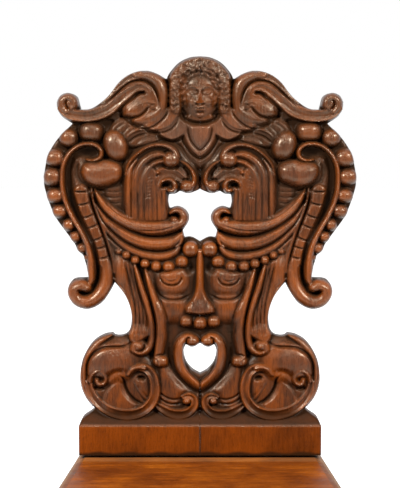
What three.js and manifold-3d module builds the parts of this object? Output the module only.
// Hall chair in the Italian sgabello manner, in stained oak. A back of two glued boards, carved from
// the solid above its own plinth, is tenoned through a moulded seat. The seat lies on a shallow frame,
// and two shaped boards, splayed fore and aft and held by one stretcher, are its legs.
// Millimetres, +Z up. The sitter faces -Y, and the carved side of the back faces -Y too.
import * as THREE from "three";
import { mergeVertices } from "three/addons/utils/BufferGeometryUtils.js";
import Module from "manifold-3d";

const wasm = await Module();
wasm.setup();

// Driving sizes of the back.
const BACK_HEIGHT = 620; // from the seat to the crown of the head
const BACK_WIDTH = 485; // across the widest beads
const GROUND_THICKNESS = 24; // wood behind the deepest ground of the carving
const RELIEF_DEPTH = 25; // from that ground to the plinth's face, the blank's own surface
const BACK_RAKE = THREE.MathUtils.degToRad(5);
const BACK_INSET = 4; // from the seat's rear edge to the back's rear face

// Driving sizes of the seat and its frame.
const SEAT_HEIGHT = 460;
const SEAT_DEPTH = 400;
const SEAT_THICKNESS = 27;
const SEAT_FLARE = THREE.MathUtils.degToRad(6.5); // of each side, from back to front
const SEAT_EDGE_WIDTH = 14; // of the thumbnail moulding round the front and sides
const SEAT_EDGE_DROP = 6; // from that moulding's shoulder to its foot
const SEAT_EDGE_FILLET = 1.5; // step between the seat's top and the moulding
const SEAT_EDGE_EASE = 4.5; // of the seat's lower corner
const SEAT_OVERHANG = 22; // past the frame at the front and sides
const REAR_OVERHANG = 3; // past the frame at the rear
const RAIL_HEIGHT = 72;
const RAIL_THICKNESS = 46; // front and rear rails, which hold the tenons
const SIDE_RAIL_THICKNESS = 24;
const RAIL_MOULDING = 8; // how far the moulding below the rails' fascia steps in

// Driving sizes of the leg boards and the stretcher.
const LEG_BOARD_WIDTH = 372;
const FRONT_BOARD_GROUND = 24;
const FRONT_BOARD_RELIEF = 12;
const REAR_BOARD_THICKNESS = 28;
const LEG_SPLAY = THREE.MathUtils.degToRad(6);
const LEG_SETBACK = 4; // from a rail's inner face to the leg board's inner face
const STRETCHER_HEIGHT = 62;
const STRETCHER_THICKNESS = 26;
const STRETCHER_LEVEL = 168; // from the floor to its middle
const STRETCHER_WAIST = 10; // how far its edges draw in at mid length

// Joints.
const CLEARANCE = 0.3;
const TENON_THICKNESS = 18;
const BACK_TENON_WIDTH = 58;
const BACK_TENON_OFFSET = 62; // from the centre line to the tenon's middle
const BACK_TENON_DEPTH = 40; // into the rear rail
const LEG_TENON_WIDTH = 64;
const LEG_TENON_OFFSET = 84;
const LEG_TENON_DEPTH = 22;
const SIDE_TENON_DEPTH = 16;
const SIDE_TENON_HEIGHT = 44;
const SIDE_TENON_THICKNESS = 8;
const STRETCHER_TENON_DEPTH = 14;
const STRETCHER_TENON_HEIGHT = 38;
const STRETCHER_TENON_THICKNESS = 16;
const TUSK_REACH = 34; // of the stretcher's rear tenon past the rear board
const WEDGE_THICKNESS = 8;
const WEDGE_WIDTH = 13;
const WEDGE_LENGTH = 96;
const WEDGE_TAPER = 4; // how much narrower the wedge's lower end is
const PEG_RADIUS = 4.5;
const PEG_PROUD = 0.8;
const PEG_REACH_SHARE = 0.9; // of the rail's thickness, from its face to the peg's end
const PEG_SIDES = 8;
const BLOCK_LEG = 42; // length of a glue block's two glued sides
const BLOCK_HEIGHT = 38;
const SCREW_RADIUS = 2.2;
const SCREW_HEAD_RADIUS = 4.6;
const SCREW_HEAD_HEIGHT = 2.6;
const SCREW_CROWN_SHARE = 0.7; // of the head's radius, at its rounded top
const SCREW_BITE = 16; // how far a screw enters the seat
const SCREW_PLACE_SHARE = 0.27; // of the block's side, from its corner to the screw
const SCREW_SIDES = 8;
const OVERRUN = 20; // how far a cutter reaches past what it cuts

// The carver's grid: shares of the back's width, height and relief.
const GRID_ACROSS_SHARE = 313;
const GRID_UP_SHARE = 400;
const GRID_DEEP_SHARE = 16;
const across = BACK_WIDTH / GRID_ACROSS_SHARE;
const up = BACK_HEIGHT / GRID_UP_SHARE;
const deep = RELIEF_DEPTH / GRID_DEEP_SHARE;
const EMBED_SHARE = 2.5; // how far a carved form reaches into the ground, in grid depths
const PLINTH_TOP_SHARE = 29.5;
const PLINTH_SLOPE_SHARES = [45, 3]; // where the slope above the plinth meets the ground
const PLINTH_HALF_SHARE = 122;

// The left half's edge, in stretches that end at its sharp corners, from the plinth up to the crown.
const EDGE_SHARES = [
  [[122, 0], [122, 30]],
  [[122, 30], [118.5, 36], [112, 40.5], [106, 45]],
  [[106, 45], [114, 53.5], [119.5, 65], [121, 79], [118, 97], [109, 112], [98, 119.5], [88.5, 121.5]],
  [[88.5, 121.5], [85.5, 119], [79, 119], [73, 122], [69.5, 131], [69.3, 145], [75, 161], [85.8, 174]],
  [[85.8, 174], [91.5, 163], [100, 152.5], [113, 147], [126, 151.5], [133, 164], [128, 176], [111.5, 178]],
  [[111.5, 178], [114, 189], [117.2, 201]],
  [[117.2, 201], [123, 206.5], [126.5, 213.5], [135, 225], [146, 241], [154, 262], [156.5, 277.5],
    [152.5, 300], [143, 317], [127.3, 333]],
  [[127.3, 333], [138.5, 341], [143, 352], [139, 361], [131, 363.5], [123.5, 360], [120.8, 352],
    [119.5, 346.7]],
  [[119.5, 346.7], [107, 348.5], [92, 359.5], [79, 375.5], [67, 383], [54, 385.5], [43, 382.5],
    [33.5, 377]],
  [[33.5, 377], [30, 384.5], [20, 395], [9, 399.3], [0, 400]],
];
// The edge of the hand hold and of the heart below it, from the top down.
const HOLD_SHARES = [
  [[0, 268], [4, 266], [12, 263.5], [20, 266]],
  [[20, 266], [25, 263], [31.3, 262.5]],
  [[31.3, 262.5], [32, 255], [30.5, 248]],
  [[30.5, 248], [22, 250.2], [13.5, 245.5], [11, 237], [17.5, 226]],
  [[17.5, 226], [15.5, 218.7]],
  [[15.5, 218.7], [8.5, 219], [0, 214.5]],
];
const HEART_SHARES = [
  [[0, 112.5], [8, 108.5], [14.5, 111.5]],
  [[14.5, 111.5], [16.8, 104], [14.5, 93], [8, 84.5], [0, 79.8]],
];

// Rolls of the carving: each row is across, up, half width and crest, all in the grid's shares.
const ROLL_SHARES = {
  crest_band: [[108, 348.5, 1.4, 7], [95, 356, 2.2, 8], [81, 370, 3.8, 10], [62, 380, 4.8, 11],
    [46, 377.5, 5.6, 11], [37.5, 366, 6.2, 11], [38, 350, 6.4, 10.5], [47, 338.5, 5.6, 10],
    [61, 336.5, 4.4, 9], [74, 340, 2, 7]],
  crest_arm: [[57, 359, 1.6, 8], [50, 362.5, 2.6, 10.5], [56, 369.5, 3.2, 12], [69, 367, 4.8, 12.5],
    [86, 352.5, 6, 12.5], [105, 341.5, 5.8, 12.5], [121, 340.3, 5.8, 12.5], [134, 345.5, 5.2, 12.5],
    [138.5, 352.5, 4.2, 12.5], [134, 359, 3.6, 12.8], [127, 358, 3.4, 13], [126.5, 352, 3, 12.8]],
  rim: [[110, 297.5, 1.6, 8], [101, 297.5, 2, 9.5], [99, 306.5, 2.2, 10.5], [109, 312.3, 2.2, 10.5],
    [122, 309, 2.3, 10.5], [132, 298.5, 2.4, 10.5], [137.3, 283, 2.5, 10.5], [136.5, 266, 2.6, 10.5],
    [130.5, 247.5, 2.7, 10.5], [120, 225, 3, 10.5], [111, 203.5, 3.8, 10.5], [108, 187, 4.2, 10.5],
    [108.5, 170.5, 3.2, 10]],
  ladder: [[122, 291, 4.5, 5.5], [119.5, 267, 6.8, 7.5], [113.5, 243, 6.2, 7.5], [103.5, 220, 5.4, 7.5],
    [96.5, 198, 5.6, 8], [94, 179, 6, 9.5], [98.5, 164.5, 6, 11], [108, 156, 6, 11.5],
    [120, 155.5, 6, 12], [127.3, 163, 5.4, 12.5], [123, 172, 4.6, 13], [115, 172, 3.6, 12.5]],
  swag_upper: [[103, 263, 1.6, 8], [92, 246.5, 4.5, 11], [74, 232.5, 6, 12.5], [50, 227.8, 6.5, 13],
    [27, 229.5, 5.6, 13], [16.5, 236, 4.9, 13], [18, 245, 4.4, 13], [26.5, 245, 3.4, 12]],
  swag_middle: [[102, 254, 1.4, 7.5], [90.5, 234, 3.8, 10], [70.5, 219.3, 6, 11], [45, 214, 6.8, 11.2],
    [24, 218, 5.4, 11], [19.5, 223, 3.2, 10.5]],
  swag_lower: [[100, 244, 1.2, 7], [88, 223.5, 3.6, 9], [67.5, 206.5, 5.2, 9.8], [44, 200.3, 5.8, 10],
    [26, 205.5, 4.6, 9.8], [21.5, 212, 2.6, 9.5]],
  plume_first: [[74.8, 244, 3.2, 8.5], [74.3, 276, 3.4, 9.5], [68, 298.5, 3.1, 10.8],
    [51, 310, 2.9, 11.6], [33, 310.3, 3.2, 12.3], [23.8, 301, 4.4, 13], [29, 293.5, 4.6, 13]],
  plume_second: [[67.5, 243, 3.8, 9], [66.8, 272, 4, 10], [59.5, 294.5, 4, 10.8], [44, 303.5, 3.4, 11],
    [35, 302, 2.6, 10.5]],
  plume_third: [[58.8, 243, 2.9, 8.5], [58, 271, 3, 9.5], [49.5, 290.5, 3, 10.2], [36, 296.5, 2.4, 9.8]],
  plume_fourth: [[50, 243, 4.6, 8], [49, 267, 4.8, 9], [40, 284, 4.6, 9.5], [26, 285.5, 4.2, 9.3],
    [17, 279, 3, 9]],
  hold_scroll: [[20, 296, 1.4, 8], [8.5, 285.5, 2.1, 10.5], [5.4, 276, 2.5, 11.2], [9, 269.3, 3.4, 11.8],
    [15.8, 271, 3, 11.4]],
  eye_bag: [[41.5, 184, 2.6, 7], [37.5, 168.5, 3.6, 8.6], [27, 163.5, 4, 9], [15.5, 167, 3.7, 8.9],
    [9.3, 181, 2.6, 7.6]],
  flow_outer: [[78, 190, 3.6, 6.5], [72.5, 165, 3.6, 7], [66.5, 143, 3, 7.2], [67, 120, 2.4, 7]],
  flow_scroll: [[62.5, 187, 2.3, 8.5], [55.5, 160, 3, 9.8], [48.6, 137, 3.3, 10.4],
    [48.3, 115, 3.8, 11], [55, 104.5, 4.2, 12], [65.5, 105, 4, 12.4], [66, 112.5, 3.6, 12.2]],
  flow_inner: [[52.5, 186, 2.6, 8], [46.5, 163.5, 4.2, 9.8], [40.8, 141, 5.4, 10.5],
    [40.5, 118, 5.7, 10.8], [42.5, 99, 5.4, 11.3]],
  heart_frame: [[11.5, 114.5, 2.4, 12], [5, 115, 3.2, 12.6], [9, 122.3, 3, 12.3], [20.5, 120.5, 3.6, 12],
    [27, 106, 4.9, 12], [25, 89, 5.2, 11.9], [15, 74, 4.9, 11.2], [0, 62.5, 3.6, 10]],
  body_rim: [[89, 119.5, 1.6, 7], [103, 111.5, 3.8, 8.5], [114.5, 93.5, 4.4, 9], [116, 71, 4.2, 9],
    [107.5, 52, 3, 8.5]],
  body_ring: [[101.5, 76, 2.6, 12.5], [99, 80.5, 2.8, 12.8], [107, 81, 3.2, 12.5], [111.3, 71, 4.2, 12],
    [105, 55.5, 5.1, 12.3], [91, 44, 5.5, 12.8], [74.5, 40.5, 5.6, 13], [57, 45, 5.4, 13],
    [45.8, 59.5, 5, 13], [46.5, 74.5, 4.8, 13], [57, 87, 4.3, 12.6], [69, 82.5, 3.5, 11.5],
    [70.5, 68, 2.7, 10], [61, 52.5, 1.7, 8.5]],
  foot_scroll: [[44, 50, 2.6, 9], [30, 41.5, 4.2, 11.5], [14, 40.5, 4.6, 12], [5.3, 50, 4, 12.4],
    [9, 58.7, 3.3, 12.5], [14, 54.5, 2.6, 12]],
};
// Rounded forms: across, up, half width, half height, crest and foot, in the grid's shares.
const DOME_SHARES = [
  [109, 324.7, 12.2, 9.8, 11, 1],
  [130.6, 318.4, 9, 8.8, 10.4, 1],
  [144.4, 298.7, 9.2, 8.6, 10.4, 1],
  [147.2, 279.4, 9, 8.6, 10.4, 1],
  [144.2, 260.6, 8.4, 7.6, 10, 1],
  [139.8, 245, 7.4, 6.6, 9.4, 1],
  [131.3, 231.5, 5.6, 5.8, 8.8, 1],
  [125, 219.6, 5.2, 5.6, 8.4, 1],
  [118.2, 208.4, 5, 5.2, 8, 1],
  [113.4, 198.8, 3.2, 3.2, 7, 1],
  [84.8, 311, 10.6, 13.8, 13.2, 1],
  [98.5, 283, 19.5, 13.8, 13, 1],
  [74, 202, 4.8, 4.8, 9.6, 1],
  [65, 196.5, 5, 5, 10, 1],
  [55.3, 192.8, 5.3, 5.2, 10.4, 1],
  [44.1, 190.3, 5.9, 5.8, 11, 1],
  [31.5, 190, 6.4, 6.1, 11.6, 1],
  [18.4, 195, 6.8, 6.3, 12, 1],
  [9.6, 208, 8.4, 8.6, 12.6, 1],
  [129, 352.5, 4.6, 4.8, 12.5, 2],
  [28.5, 179, 10, 6.6, 7.4, 1],
  [9.8, 147.5, 5.2, 4.8, 12, 1],
  [13.6, 134.8, 7, 6.6, 11.6, 1],
  [40, 94.5, 7.6, 6.6, 12, 2],
  [86, 88, 24, 17, 8, 0],
  [80, 60.5, 16, 12.5, 8, 0],
  [30, 70, 11, 18, 8, 0],
  [101.5, 75, 4.2, 4.2, 12, 2],
  [11.5, 55.3, 4.6, 4.6, 11.5, 2],
];
// Forms that cross the glue line: the mask's nose and middle bead, and the winged head.
const CENTRE_DOME_SHARES = [
  [0, 133.5, 7.4, 7, 12.4, 1],
  [0, 371.5, 30.5, 28, 12.8, 2],
  [24.5, 351, 6.2, 8, 12.4, 2],
  [0, 361, 17.2, 24.3, 15.6, 4],
];
const NOSE_SHARES = [[0, 206, 2.6, 8], [0, 178, 3.7, 10], [0, 163, 4.8, 12], [0, 153.5, 8.6, 14],
  [0, 147, 10.5, 15], [0, 142.5, 10.5, 12]];
const FACE_NOSE_SHARES = [[0, 367, 1.9, 15.7], [0, 360, 2.5, 16], [0, 356, 3.2, 16], [0, 354, 2.6, 15]];
// Leaves of the collar below the head: outline and level, the lower leaves first.
const COLLAR_SHARES = [
  { levelShare: 5.2, outlineShares: [[0, 300.5], [4, 302], [10, 308.5], [15, 321], [15, 340], [0, 345]] },
  { levelShare: 6.4, outlineShares: [[0, 306.5], [5, 310], [9.5, 318], [11, 331], [11, 340], [0, 345]] },
  {
    levelShare: 6,
    outlineShares: [[14, 322], [20, 318], [28, 315.8], [36, 317.5], [43, 324.5], [40, 338], [16, 343]],
  },
  {
    levelShare: 7.6,
    outlineShares: [[20, 343], [24.5, 334.5], [32, 327.5], [44, 325], [56.5, 330.5], [46, 344]],
  },
];
// A roll's section: out from its line and up from the ground, in shares of its half width and crest.
const SECTION_SHARES = [[0.96, -1], [0.84, 0.6], [0, 1], [-0.84, 0.6], [-0.96, -1]];
const RING_SAMPLE_COUNT = 6; // places along a roll, for each of its rows, where a ring may stand
const RING_TURN = THREE.MathUtils.degToRad(33); // how far a roll turns from one ring to the next
const PIECE_RING_COUNT = 6; // so that no piece of a volute folds through itself
const DOME_FACE_COUNTS = { around: 10, rings: 6 };
const BEAD_FACE_COUNTS = { around: 8, rings: 4 };
const BEAD_LIMIT = 13.5; // half width in millimetres below which a rounded form is a bead
const EDGE_STEP_COUNT = 2; // straight steps of an edge for each of its points

// A rail's outer face from the top down: inward in shares of the moulding, up in shares of the height.
const RAIL_FACE_SHARES = [[0, 1], [0, 0.44], [0.28, 0.4], [0.28, 0.31], [0.5, 0.17], [1, 0.11], [1, 0]];
// The seat's thumbnail moulding from its foot up: inset in shares of its width, up in shares of its drop.
const THUMBNAIL_SHARES = [[0, 0], [0.04, 0.32], [0.16, 0.6], [0.4, 0.83], [0.7, 0.95], [1, 1]];

// The leg board's left edge, from the rail down to the floor and in along the arch: shares of half
// the board's width and of its height.
const LEG_EDGE_SHARES = [
  [[0.74, 1], [0.86, 0.965], [0.955, 0.9], [0.955, 0.825], [0.86, 0.775], [0.72, 0.785]],
  [[0.72, 0.785], [0.56, 0.715], [0.48, 0.6], [0.47, 0.49], [0.56, 0.385], [0.7, 0.325]],
  [[0.7, 0.325], [0.84, 0.32], [0.96, 0.25], [1, 0.15], [0.97, 0.06], [0.9, 0]],
  [[0.9, 0], [0.52, 0]],
  [[0.52, 0], [0.49, 0.07], [0.38, 0.115], [0.24, 0.11], [0.1, 0.135], [0, 0.2]],
];
// Rolls and domes of the front leg board, across and up in shares of the same two sizes, half width
// in shares of half the width, and crest in shares of the relief.
const LEG_ROLL_SHARES = {
  upper_scroll: [[0.62, 0.885, 0.03, 0.8], [0.66, 0.845, 0.04, 0.95], [0.75, 0.825, 0.045, 1],
    [0.84, 0.85, 0.048, 1], [0.865, 0.9, 0.048, 1], [0.78, 0.945, 0.048, 1], [0.62, 0.95, 0.045, 1],
    [0.5, 0.89, 0.045, 1], [0.42, 0.78, 0.045, 1], [0.37, 0.66, 0.045, 1], [0.36, 0.54, 0.045, 1]],
  lower_scroll: [[0.36, 0.54, 0.045, 1], [0.38, 0.43, 0.048, 1], [0.48, 0.33, 0.05, 1],
    [0.64, 0.275, 0.052, 1], [0.8, 0.255, 0.052, 1], [0.89, 0.18, 0.052, 1], [0.87, 0.1, 0.05, 1],
    [0.76, 0.065, 0.048, 1], [0.66, 0.1, 0.045, 1], [0.66, 0.165, 0.04, 1], [0.74, 0.185, 0.034, 0.9]],
};
const LEG_DOME_SHARES = [
  [0.74, 0.88, 0.055, 0.032, 0.95],
  [0.755, 0.13, 0.06, 0.034, 0.95],
];
const BOSS_SHARES = [0, 0.56, 0.17, 0.12, 1]; // the oval boss at the leg board's middle
const DROP_SHARES = [0, 0.33, 0.075, 0.07, 0.9]; // the bud below the boss

// Colours of the stained oak: the carved back, the brighter seat, and the small wood and iron.
const oak = new THREE.MeshStandardMaterial({ color: 0x6e3a20, roughness: 0.42, metalness: 0 });
const seatOak = new THREE.MeshStandardMaterial({ color: 0x8c4a20, roughness: 0.38, metalness: 0 });
const insideOak = new THREE.MeshStandardMaterial({ color: 0x7a5233, roughness: 0.7, metalness: 0 });
const iron = new THREE.MeshStandardMaterial({ color: 0x3a3633, roughness: 0.5, metalness: 0.9 });

// A geometry as a solid that can be joined and cut. One drawn inside out is turned round.
function solidOf(geometry) {
  const bare = geometry.index ? geometry.toNonIndexed() : geometry.clone();
  for (const name of Object.keys(bare.attributes)) if (name !== "position") bare.deleteAttribute(name);
  const merged = mergeVertices(bare);
  const vertProperties = merged.attributes.position.array;
  const triVerts = new Uint32Array(merged.index.array);
  const solid = new wasm.Manifold(new wasm.Mesh({ numProp: 3, vertProperties, triVerts }));
  if (solid.volume() > 0) return solid;
  return new wasm.Manifold(new wasm.Mesh({ numProp: 3, vertProperties, triVerts: triVerts.reverse() }));
}

function geometryOf(solid) {
  const { vertProperties, triVerts } = solid.getMesh();
  const geometry = new THREE.BufferGeometry();
  geometry.setAttribute("position", new THREE.BufferAttribute(new Float32Array(vertProperties), 3));
  geometry.setIndex(new THREE.BufferAttribute(new Uint32Array(triVerts), 1));
  return geometry;
}

// Solids joined into one body, without the crumbs that crossing facets can leave beside it.
function joined(solids) {
  const bodies = solids.reduce((whole, solid) => whole.add(solid)).decompose();
  return bodies.reduce((largest, body) => (body.volume() > largest.volume() ? body : largest));
}

const cutBy = (solid, cutters) => cutters.reduce((left, cutter) => left.subtract(cutter), solid);

function meshOf(name, solid, material) {
  const mesh = new THREE.Mesh(geometryOf(solid), material);
  mesh.name = name;
  return mesh;
}

// A box given by its middle and its size.
function box(size, middle) {
  return new THREE.BoxGeometry(...size).translate(...middle);
}

// A solid drawn in one group's frame, as it lies in another's.
function carried(geometry, from, to) {
  from.updateWorldMatrix(true, false);
  to.updateWorldMatrix(true, false);
  const matrix = to.matrixWorld.clone().invert().multiply(from.matrixWorld);
  return solidOf(geometry.clone().applyMatrix4(matrix));
}

// A cylinder along the direction in which the carving faces.
function rod(radius, length, sides, middle) {
  return new THREE.CylinderGeometry(radius, radius, length, sides).translate(...middle);
}

// The points of an edge drawn as smooth stretches between sharp corners.
function edgePoints(stretches, place) {
  const points = [];
  for (const stretch of stretches) {
    const curve = new THREE.SplineCurve(stretch.map((share) => new THREE.Vector2(...place(share))));
    const steps = stretch.length > 2 ? (stretch.length - 1) * EDGE_STEP_COUNT : 1;
    points.push(...curve.getPoints(steps).slice(0, -1));
  }
  const last = stretches.at(-1).at(-1);
  return [...points, new THREE.Vector2(...place(last))];
}

// An outline in the plane of a board, from its rear face at y = 0 forwards to its thickness.
function boardOf(points, thickness) {
  const geometry = new THREE.ExtrudeGeometry(new THREE.Shape(points), {
    depth: thickness,
    bevelEnabled: false,
  });
  return geometry.rotateX(Math.PI / 2);
}

// A solid with a skin over rings of equal length and a fan over each end.
function solidSkin(rings) {
  const around = rings[0].length;
  const positions = rings.flat().flatMap((point) => point.toArray());
  const index = [];
  for (let ring = 0; ring + 1 < rings.length; ring += 1) {
    for (let side = 0; side < around; side += 1) {
      const here = ring * around + side;
      const next = ring * around + ((side + 1) % around);
      index.push(here, next, here + around, next, next + around, here + around);
    }
  }
  const end = (rings.length - 1) * around;
  for (let side = 1; side + 1 < around; side += 1) {
    index.push(0, side + 1, side, end, end + side, end + side + 1);
  }
  const geometry = new THREE.BufferGeometry();
  geometry.setAttribute("position", new THREE.Float32BufferAttribute(positions, 3));
  geometry.setIndex(index);
  return solidOf(geometry);
}

// Places along a roll's line for its rings, closer together where the line turns faster.
function ringPlaces(line, rows) {
  const samples = (rows - 1) * RING_SAMPLE_COUNT;
  const places = [0];
  let heading = line.getTangent(0);
  let since = 0;
  for (let sample = 1; sample < samples; sample += 1) {
    const tangent = line.getTangent(sample / samples);
    since += 1;
    if (tangent.angleTo(heading) > RING_TURN || since === 2 * RING_SAMPLE_COUNT) {
      places.push(sample / samples);
      heading = tangent;
      since = 0;
    }
  }
  return [...places, 1];
}

// A half-round roll on a board's ground. Rows are across, up, half width and crest, in real sizes.
function roll(rows, ground, embed) {
  const line = new THREE.SplineCurve(rows.map(([x, z]) => new THREE.Vector2(x, z)));
  const rings = ringPlaces(line, rows.length).map((place) => {
    const row = place * (rows.length - 1);
    const low = Math.min(Math.floor(row), rows.length - 2);
    const [half, crest] = [2, 3].map((i) => THREE.MathUtils.lerp(rows[low][i], rows[low + 1][i], row - low));
    const middle = line.getPoint(place);
    const along = line.getTangent(place);
    return SECTION_SHARES.map(([out, rise]) => new THREE.Vector3(
      middle.x - along.y * out * half,
      -(ground + rise * (rise > 0 ? crest : embed)),
      middle.y + along.x * out * half,
    ));
  });
  const pieces = [];
  for (let first = 0; first + 1 < rings.length; first += PIECE_RING_COUNT) {
    pieces.push(solidSkin(rings.slice(first, first + PIECE_RING_COUNT + 1)));
  }
  return joined(pieces);
}

// A rounded form on a board's ground, given by its middle, half width, half height, crest and foot.
function dome([x, z, halfWide, halfHigh, crest, foot], ground) {
  const { around, rings } = halfWide < BEAD_LIMIT ? BEAD_FACE_COUNTS : DOME_FACE_COUNTS;
  const form = new THREE.SphereGeometry(1, around, rings).rotateX(Math.PI / 2);
  return solidOf(form.scale(halfWide, crest - foot, halfHigh).translate(x, -(ground + foot), z));
}

// A solid's mirror image across the chair's middle plane.
function mirrored(solid) {
  return solidOf(geometryOf(solid).scale(-1, 1, 1));
}

const gridPoint = ([x, z]) => [-x * across, z * up];
const gridRow = ([x, z, half, crest]) => [-x * across, z * up, half * across, crest * deep];
const gridDome = ([x, z, wide, high, crest, foot]) =>
  [-x * across, z * up, wide * across, high * up, crest * deep, foot * deep];

// Heights and depths that several parts share. The seat's rear edge lies at y = 0.
const blankThickness = GROUND_THICKNESS + RELIEF_DEPTH;
const seatRearHalf = PLINTH_HALF_SHARE * across;
const seatUnderside = SEAT_HEIGHT - SEAT_THICKNESS;
const railTop = seatUnderside - CLEARANCE;
const railBottom = railTop - RAIL_HEIGHT;
const legTop = railBottom - CLEARANCE;
const rearRailOuter = -REAR_OVERHANG;
const rearRailInner = rearRailOuter - RAIL_THICKNESS;
const frontRailOuter = -(SEAT_DEPTH - SEAT_OVERHANG);
const frontRailInner = frontRailOuter + RAIL_THICKNESS;
const flareRun = Math.tan(SEAT_FLARE);
const flareReach = 1 / Math.cos(SEAT_FLARE);
const frameHalf = (y) => seatRearHalf - y * flareRun - SEAT_OVERHANG * flareReach;
const frameInnerHalf = (y) => frameHalf(y) - SIDE_RAIL_THICKNESS * flareReach;

// The chair's own frame, and the tilted frames of the back and of the two leg boards.
const chair = new THREE.Group();
const back = new THREE.Group();
back.position.set(0, -BACK_INSET, SEAT_HEIGHT);
back.rotation.x = -BACK_RAKE;
const frontLeg = new THREE.Group();
frontLeg.position.set(0, frontRailInner - LEG_SETBACK, legTop);
frontLeg.rotation.x = -LEG_SPLAY;
const rearLeg = new THREE.Group();
rearLeg.rotation.order = "ZXY";
rearLeg.position.set(0, rearRailInner + LEG_SETBACK, legTop);
rearLeg.rotation.set(-LEG_SPLAY, 0, Math.PI);
chair.add(back, frontLeg, rearLeg);

// The tenon below one half of the back, through the seat and into the rear rail.
function backTenon(room) {
  const reach = (SEAT_THICKNESS + BACK_TENON_DEPTH) / Math.cos(BACK_RAKE);
  const root = PLINTH_TOP_SHARE * up / 2;
  return box(
    [BACK_TENON_WIDTH + 2 * room, TENON_THICKNESS + 2 * room, reach + root + room],
    [-BACK_TENON_OFFSET, -blankThickness / 2, (root - reach - room) / 2],
  );
}

// The left half of the back, in the back's own frame: z up the board from the seat, y = 0 its rear.
function carvedHalf() {
  const embed = EMBED_SHARE * deep;
  const outline = [
    ...edgePoints(EDGE_SHARES, gridPoint),
    ...edgePoints(HOLD_SHARES, gridPoint),
    ...edgePoints(HEART_SHARES, gridPoint),
    new THREE.Vector2(0, 0),
  ];
  const board = solidOf(boardOf(outline, GROUND_THICKNESS));
  const slopeTop = PLINTH_SLOPE_SHARES[0] * up;
  const slopeGround = GROUND_THICKNESS + PLINTH_SLOPE_SHARES[1] * deep;
  const plinthProfile = [
    [0, 0],
    [blankThickness, 0],
    [blankThickness, PLINTH_TOP_SHARE * up],
    [slopeGround, slopeTop],
    [0, slopeTop],
  ];
  const plinthShape = new THREE.Shape(plinthProfile.map((point) => new THREE.Vector2(...point)));
  const plinth = new THREE.ExtrudeGeometry(plinthShape, { depth: seatRearHalf, bevelEnabled: false });
  const turn = new THREE.Matrix4().set(0, 0, -1, 0, -1, 0, 0, 0, 0, 1, 0, 0, 0, 0, 0, 1);
  const hip = solidOf(boardOf(outline, blankThickness));
  const parts = [board, solidOf(plinth.applyMatrix4(turn)).intersect(hip)];
  for (const rows of [...Object.values(ROLL_SHARES), NOSE_SHARES, FACE_NOSE_SHARES]) {
    parts.push(roll(rows.map(gridRow), GROUND_THICKNESS, embed));
  }
  for (const row of [...DOME_SHARES, ...CENTRE_DOME_SHARES]) {
    parts.push(dome(gridDome(row), GROUND_THICKNESS));
  }
  for (const { levelShare, outlineShares } of COLLAR_SHARES) {
    const points = outlineShares.map((share) => new THREE.Vector2(...gridPoint(share)));
    parts.push(solidOf(boardOf(points, GROUND_THICKNESS + levelShare * deep)));
  }
  const seatPlane = [0, -Math.sin(BACK_RAKE), Math.cos(BACK_RAKE)];
  return joined(parts)
    .trimByPlane([-1, 0, 0], CLEARANCE / 2)
    .trimByPlane(seatPlane, CLEARANCE)
    .add(solidOf(backTenon(0)));
}

// The tenons above a leg board, in the board's own frame.
function legTenons(room, middle) {
  return [-1, 1].map((side) => box(
    [LEG_TENON_WIDTH + 2 * room, TENON_THICKNESS + 2 * room, 2 * LEG_TENON_DEPTH + 2 * room],
    [side * LEG_TENON_OFFSET, -middle, 0],
  ));
}

// A leg board with its two tenons: the shaped board, and the front one's scrolls.
function legBoard(thickness, carved) {
  const half = LEG_BOARD_WIDTH / 2;
  const height = legTop / Math.cos(LEG_SPLAY);
  const place = ([x, z]) => [-x * half, (z - 1) * height];
  const left = edgePoints(LEG_EDGE_SHARES, place);
  const right = left.slice(0, -1).reverse().map((point) => new THREE.Vector2(-point.x, point.y));
  const slack = thickness * Math.tan(LEG_SPLAY) + OVERRUN;
  const points = [...left, ...right].map((point) => {
    const shift = point.y > -CLEARANCE ? slack : point.y < CLEARANCE - height ? -slack : 0;
    return new THREE.Vector2(point.x, point.y + shift);
  });
  const parts = [solidOf(boardOf(points, thickness))];
  if (carved) {
    const sized = ([x, z, wide, crest]) => [...place([x, z]), wide * half, crest * FRONT_BOARD_RELIEF];
    const embed = FRONT_BOARD_RELIEF / 2;
    for (const rows of Object.values(LEG_ROLL_SHARES)) {
      const leftRoll = roll(rows.map(sized), thickness, embed);
      parts.push(leftRoll, mirrored(leftRoll));
    }
    for (const [x, z, wide, high, crest] of [...LEG_DOME_SHARES, BOSS_SHARES, DROP_SHARES]) {
      const row = [...place([x, z]), wide * half, high * height, crest * FRONT_BOARD_RELIEF, 0];
      parts.push(dome(row, thickness), mirrored(dome(row, thickness)));
    }
  }
  const tenons = legTenons(0, thickness / 2).map(solidOf);
  const down = Math.sin(LEG_SPLAY);
  const upright = Math.cos(LEG_SPLAY);
  return joined(parts)
    .trimByPlane([0, down, -upright], 0)
    .trimByPlane([0, -down, upright], -legTop)
    .add(tenons[0])
    .add(tenons[1]);
}

// A shape drawn fore and aft and up, as a body that runs across the chair's middle plane.
function laidAcross(shape, length, y, z) {
  const lay = new THREE.Matrix4().set(0, 0, 1, -length / 2, 1, 0, 0, y, 0, 1, 0, z, 0, 0, 0, 1);
  return new THREE.ExtrudeGeometry(shape, { depth: length, bevelEnabled: false }).applyMatrix4(lay);
}

// A rail's section, from its outer moulded face inwards to its thickness, from z = 0 up.
function railShape(thickness) {
  const face = RAIL_FACE_SHARES.map(([inward, rise]) =>
    new THREE.Vector2(inward * RAIL_MOULDING, rise * RAIL_HEIGHT));
  const inner = [new THREE.Vector2(thickness, 0), new THREE.Vector2(thickness, RAIL_HEIGHT)];
  return new THREE.Shape([...face, ...inner]);
}

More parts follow.
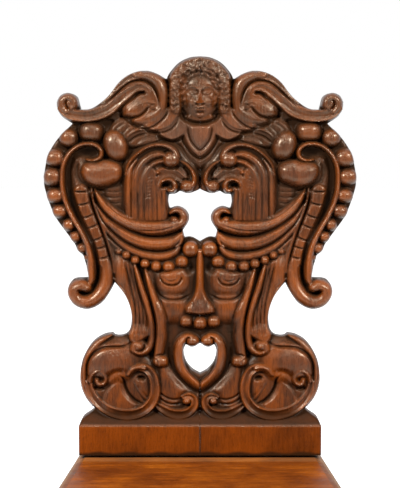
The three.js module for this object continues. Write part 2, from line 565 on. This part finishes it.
// The front rail, its ends cut to the seat's flare. The rear rail is plain.
function crossRail(outer, moulded) {
  const length = 2 * frameHalf(frontRailOuter) + 2 * OVERRUN;
  const middle = [0, outer - RAIL_THICKNESS / 2, railBottom + RAIL_HEIGHT / 2];
  const geometry = moulded
    ? laidAcross(railShape(RAIL_THICKNESS), length, outer, railBottom)
    : box([length, RAIL_THICKNESS, RAIL_HEIGHT], middle);
  const reach = frameHalf(0) * Math.cos(SEAT_FLARE);
  const side = [-Math.cos(SEAT_FLARE), -Math.sin(SEAT_FLARE), 0];
  return solidOf(geometry)
    .trimByPlane(side, -reach)
    .trimByPlane([-side[0], side[1], 0], -reach);
}

// A side rail's tenons into the cross rails, on the right.
function sideTenons(room) {
  return [rearRailInner, frontRailInner].map((y) => box(
    [SIDE_TENON_THICKNESS + 2 * room, 2 * (SIDE_TENON_DEPTH + room), SIDE_TENON_HEIGHT + 2 * room],
    [frameHalf(y) - SIDE_RAIL_THICKNESS * flareReach / 2, y, railBottom + RAIL_HEIGHT / 2],
  ));
}

// The right side rail, along the seat's flare.
function sideRail() {
  const length = SEAT_DEPTH * flareReach;
  const turn = new THREE.Matrix4().makeRotationZ(SEAT_FLARE).setPosition(frameHalf(0), 0, railBottom);
  const lay = new THREE.Matrix4().set(-1, 0, 0, 0, 0, 0, -1, 0, 0, 1, 0, 0, 0, 0, 0, 1);
  const geometry = new THREE.ExtrudeGeometry(railShape(SIDE_RAIL_THICKNESS), {
    depth: length,
    bevelEnabled: false,
  });
  const tenons = sideTenons(0).map(solidOf);
  return solidOf(geometry.applyMatrix4(lay).applyMatrix4(turn))
    .trimByPlane([0, -1, 0], -rearRailInner + CLEARANCE)
    .trimByPlane([0, 1, 0], frontRailInner + CLEARANCE)
    .add(tenons[0])
    .add(tenons[1]);
}

// The seat: a board with a thumbnail moulding and a fillet round its front and sides, lofted ring by ring.
function seatBoard() {
  const corner = (inset, z) => {
    const side = inset * flareReach;
    const front = -(SEAT_DEPTH - inset);
    const rear = seatRearHalf - side;
    const wide = seatRearHalf - front * flareRun - side;
    return [[-rear, 0], [-wide, front], [wide, front], [rear, 0]]
      .map(([x, y]) => new THREE.Vector3(x, y, z));
  };
  const shoulder = SEAT_HEIGHT - SEAT_EDGE_FILLET;
  const foot = shoulder - SEAT_EDGE_DROP;
  const stepInset = SEAT_EDGE_WIDTH + SEAT_EDGE_FILLET / 2;
  const rings = [
    corner(SEAT_EDGE_EASE, seatUnderside),
    corner(0, seatUnderside + SEAT_EDGE_EASE),
    ...THUMBNAIL_SHARES.map(([inset, rise]) => corner(inset * SEAT_EDGE_WIDTH, foot + rise * SEAT_EDGE_DROP)),
    corner(stepInset, shoulder),
    corner(stepInset, SEAT_HEIGHT),
  ];
  return solidSkin(rings);
}

// The stretcher, drawn from the side: a waisted board with a blind tenon in front and a tusk behind.
function stretcherBoard(room) {
  const lean = Math.tan(LEG_SPLAY);
  const drop = legTop - STRETCHER_LEVEL;
  const face = CLEARANCE / Math.cos(LEG_SPLAY);
  const front = (z) => frontLeg.position.y - (drop - z) * lean + face;
  const rear = (z) => rearLeg.position.y + (drop - z) * lean - face;
  const half = STRETCHER_HEIGHT / 2;
  const tenon = STRETCHER_TENON_HEIGHT / 2 + room;
  const blind = STRETCHER_TENON_DEPTH + room;
  const tusk = REAR_BOARD_THICKNESS / Math.cos(LEG_SPLAY) + TUSK_REACH + room;
  const bodyPoints = edgePoints([
    [[front(half), half], [(front(0) + rear(0)) / 2, half - STRETCHER_WAIST], [rear(half), half]],
    [[rear(half), half], [rear(-half), -half]],
    [[rear(-half), -half], [(front(0) + rear(0)) / 2, STRETCHER_WAIST - half], [front(-half), -half]],
    [[front(-half), -half], [front(half), half]],
  ], (point) => point).slice(0, -1);
  const side = (points, thickness) =>
    solidOf(laidAcross(new THREE.Shape(points), thickness, 0, STRETCHER_LEVEL));
  const tenonPoints = [
    [front(-tenon) - blind, -tenon],
    [rear(-tenon) + tusk, -tenon],
    [rear(tenon) + tusk, tenon],
    [front(tenon) - blind, tenon],
  ].map((point) => new THREE.Vector2(...point));
  const bar = side(tenonPoints, STRETCHER_TENON_THICKNESS + 2 * room);
  return room > 0 ? bar : bar.add(side(bodyPoints, STRETCHER_THICKNESS));
}

// The wedge through the stretcher's tusk, bearing on the rear board, in that board's frame.
function tuskWedge(room) {
  const inner = -(REAR_BOARD_THICKNESS + CLEARANCE - room);
  const level = (STRETCHER_LEVEL - legTop) / Math.cos(LEG_SPLAY);
  const half = WEDGE_LENGTH / 2;
  const points = [
    [inner, -half],
    [inner, half],
    [inner - WEDGE_WIDTH - 2 * room, half],
    [inner - WEDGE_WIDTH - 2 * room + WEDGE_TAPER, -half],
  ].map((point) => new THREE.Vector2(...point));
  return laidAcross(new THREE.Shape(points), WEDGE_THICKNESS + 2 * room, 0, level);
}

// A peg through a cross rail, from the face that it enters. Its length stops short of the other face.
function peg(x, entry, inward, z, room) {
  const length = RAIL_THICKNESS * PEG_REACH_SHARE + PEG_PROUD + room;
  const middle = entry + inward * (length / 2 - PEG_PROUD);
  return rod(PEG_RADIUS + room, length, PEG_SIDES, [x, middle, z]);
}

// The glue block in a corner of the frame, on the right, and the screw that it holds.
function cornerBlock(railFace, away) {
  const y = railFace + away * CLEARANCE;
  const corner = new THREE.Vector2(frameInnerHalf(y) - CLEARANCE * flareReach, y);
  const along = new THREE.Vector2(-flareRun * away, away).setLength(BLOCK_LEG);
  const points = [corner, corner.clone().setX(corner.x - BLOCK_LEG), corner.clone().add(along)];
  const geometry = new THREE.ExtrudeGeometry(new THREE.Shape(points), {
    depth: BLOCK_HEIGHT,
    bevelEnabled: false,
  });
  return {
    geometry: geometry.translate(0, 0, railTop - BLOCK_HEIGHT),
    screw: [
      corner.x - BLOCK_LEG * SCREW_PLACE_SHARE,
      y + away * BLOCK_LEG * SCREW_PLACE_SHARE,
      railTop - BLOCK_HEIGHT,
    ],
  };
}

// A wood screw with a round head, turned about z, its head's underside at z = 0.
function screwGeometry(room) {
  const length = BLOCK_HEIGHT + CLEARANCE + SCREW_BITE;
  const profile = [
    [0, -SCREW_HEAD_HEIGHT],
    [SCREW_HEAD_RADIUS * SCREW_CROWN_SHARE, -SCREW_HEAD_HEIGHT],
    [SCREW_HEAD_RADIUS, -CLEARANCE],
    [SCREW_RADIUS, -CLEARANCE],
    [SCREW_RADIUS, length - SCREW_RADIUS],
    [0, length],
  ];
  const hole = [
    [0, -SCREW_HEAD_HEIGHT],
    [SCREW_RADIUS + room, -SCREW_HEAD_HEIGHT],
    [SCREW_RADIUS + room, length + room],
    [0, length + room],
  ];
  const points = (room > 0 ? hole : profile).map((point) => new THREE.Vector2(...point));
  return new THREE.LatheGeometry(points, SCREW_SIDES);
}

const leftHalf = carvedHalf();
back.add(meshOf("back_board_left", leftHalf, oak), meshOf("back_board_right", mirrored(leftHalf), oak));

const backMortises = [carried(backTenon(CLEARANCE), back, chair)];
backMortises.push(mirrored(backMortises[0]));
const frontMortises = legTenons(CLEARANCE, FRONT_BOARD_GROUND / 2)
  .map((tenon) => carried(tenon, frontLeg, chair));
const rearMortises = legTenons(CLEARANCE, REAR_BOARD_THICKNESS / 2)
  .map((tenon) => carried(tenon, rearLeg, chair));
const sideMortises = sideTenons(CLEARANCE).map(solidOf);
sideMortises.push(...sideMortises.map(mirrored));

// Pegs: the back's and the rear board's from behind, the front board's from inside the frame.
const backPegLevel = railTop - BACK_TENON_DEPTH / 2;
const legPegLevel = railBottom + LEG_TENON_DEPTH / 2;
const pegPlaces = {
  back_peg: [BACK_TENON_OFFSET, rearRailOuter, -1, backPegLevel],
  rear_leg_peg: [LEG_TENON_OFFSET, rearRailOuter, -1, legPegLevel],
  front_leg_peg: [LEG_TENON_OFFSET, frontRailInner, -1, legPegLevel],
};
const pegHoles = [];
for (const [name, [x, ...place]] of Object.entries(pegPlaces)) {
  for (const [side, hand] of [[-1, "left"], [1, "right"]]) {
    chair.add(meshOf(`${name}_${hand}`, solidOf(peg(side * x, ...place, 0)), oak));
    pegHoles.push(solidOf(peg(side * x, ...place, CLEARANCE)));
  }
}

const screwHoles = [];
for (const [end, railFace, away] of [["front", frontRailInner, 1], ["rear", rearRailInner, -1]]) {
  const { geometry, screw } = cornerBlock(railFace, away);
  const hole = solidOf(screwGeometry(CLEARANCE).rotateX(Math.PI / 2).translate(...screw));
  const block = solidOf(geometry).subtract(hole);
  const shank = solidOf(screwGeometry(0).rotateX(Math.PI / 2).translate(...screw));
  chair.add(meshOf(`corner_block_${end}_right`, block, insideOak));
  chair.add(meshOf(`corner_block_${end}_left`, mirrored(block), insideOak));
  chair.add(meshOf(`seat_screw_${end}_right`, shank, iron));
  chair.add(meshOf(`seat_screw_${end}_left`, mirrored(shank), iron));
  screwHoles.push(hole, mirrored(hole));
}

chair.add(meshOf("seat_board", cutBy(seatBoard(), [...backMortises, ...screwHoles]), seatOak));
const frontRail = cutBy(crossRail(frontRailOuter, true), [...frontMortises, ...sideMortises, ...pegHoles]);
const rearRail = cutBy(crossRail(rearRailOuter, false), [
  ...backMortises,
  ...rearMortises,
  ...sideMortises,
  ...pegHoles,
]);
chair.add(meshOf("front_rail", frontRail, oak), meshOf("rear_rail", rearRail, oak));
const rightRail = sideRail();
chair.add(meshOf("side_rail_right", rightRail, oak), meshOf("side_rail_left", mirrored(rightRail), oak));

const chairStretcher = stretcherBoard(0);
const stretcherHole = geometryOf(stretcherBoard(CLEARANCE));
const wedgeHole = carried(tuskWedge(CLEARANCE), rearLeg, chair);
chair.add(meshOf("stretcher", chairStretcher.subtract(wedgeHole), oak));
rearLeg.add(meshOf("stretcher_wedge", solidOf(tuskWedge(0)), oak));
const holesFor = (leg) => [
  carried(stretcherHole, chair, leg),
  ...pegHoles.map((hole) => carried(geometryOf(hole), chair, leg)),
];
const frontBoard = legBoard(FRONT_BOARD_GROUND, true);
frontLeg.add(meshOf("front_leg_board", cutBy(frontBoard, holesFor(frontLeg)), oak));
const rearBoard = legBoard(REAR_BOARD_THICKNESS, false);
rearLeg.add(meshOf("rear_leg_board", cutBy(rearBoard, holesFor(rearLeg)), oak));

// The back's tenons are cut for their pegs in the back's own frame.
for (const mesh of [...back.children]) {
  const bored = cutBy(solidOf(mesh.geometry), pegHoles.map((hole) => carried(geometryOf(hole), chair, back)));
  mesh.geometry = geometryOf(bored);
}

const extent = new THREE.Box3().setFromObject(chair, true);
const middle = extent.getCenter(new THREE.Vector3());
chair.position.set(-middle.x, -middle.y, -extent.min.z);
const group = new THREE.Group();
group.add(chair);
group.updateMatrixWorld(true);
export default group;
